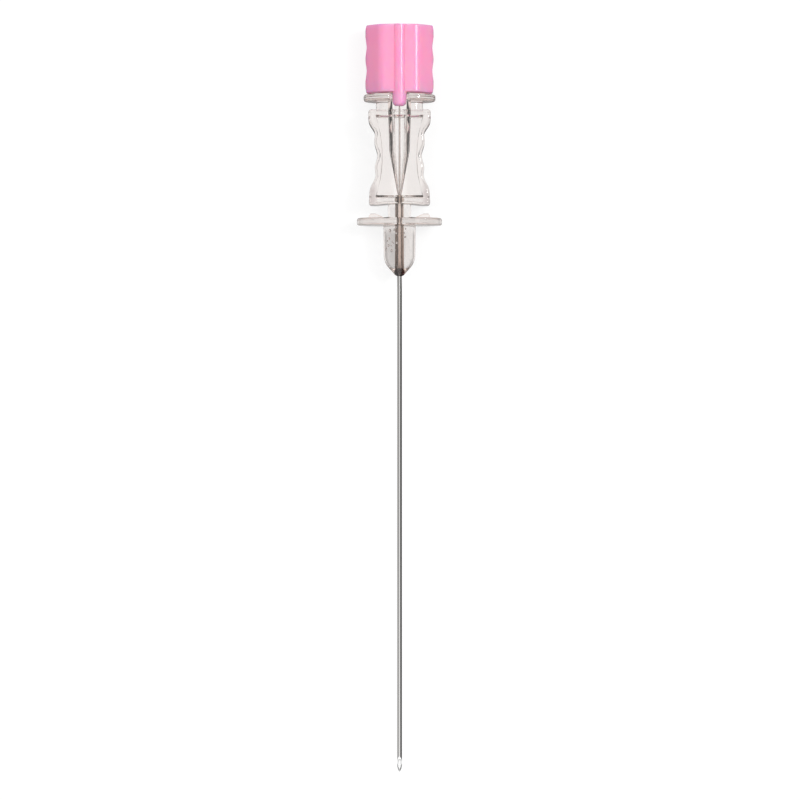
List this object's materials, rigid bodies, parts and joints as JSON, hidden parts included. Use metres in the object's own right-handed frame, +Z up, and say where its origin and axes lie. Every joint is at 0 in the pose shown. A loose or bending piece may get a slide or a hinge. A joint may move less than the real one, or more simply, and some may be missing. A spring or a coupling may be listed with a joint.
{
  "type": "spinal needle",
  "caption": "Long thin bevelled steel needle with a clear winged hub, and a keyed pull-out stylet whose pink cap closes the hub.",
  "frame": {"origin": "on the surface that the needle lies on, under the middle of its length and on its axis seen from above", "axes": "+Z up, out of the front of the hub, where the key and the bevel face; +Y along the needle towards the cap; +X to the right seen from the front with the cap up"},
  "size_m": [0.0154, 0.1352, 0.0094],
  "materials": {
    "clear_plastic": "clear, polished",
    "needle_steel": "drawn and polished stainless steel",
    "cured_adhesive": "clear with a brown tint",
    "pink_plastic": "glossy moulded",
    "stylet_steel": "ground stainless steel"
  },
  "bodies": {
    "needle": {"needle_hub": "clear_plastic", "needle_cannula": "needle_steel", "adhesive_bond": "cured_adhesive"},
    "stylet": {"stylet_cap": "pink_plastic", "stylet_rod": "stylet_steel"}
  },
  "joints": [
    {"name": "stylet_pull", "type": "slide", "parent": "needle", "child": "stylet", "axis": [0, 1, 0], "range_m": [0, 0.125]}
  ]
}
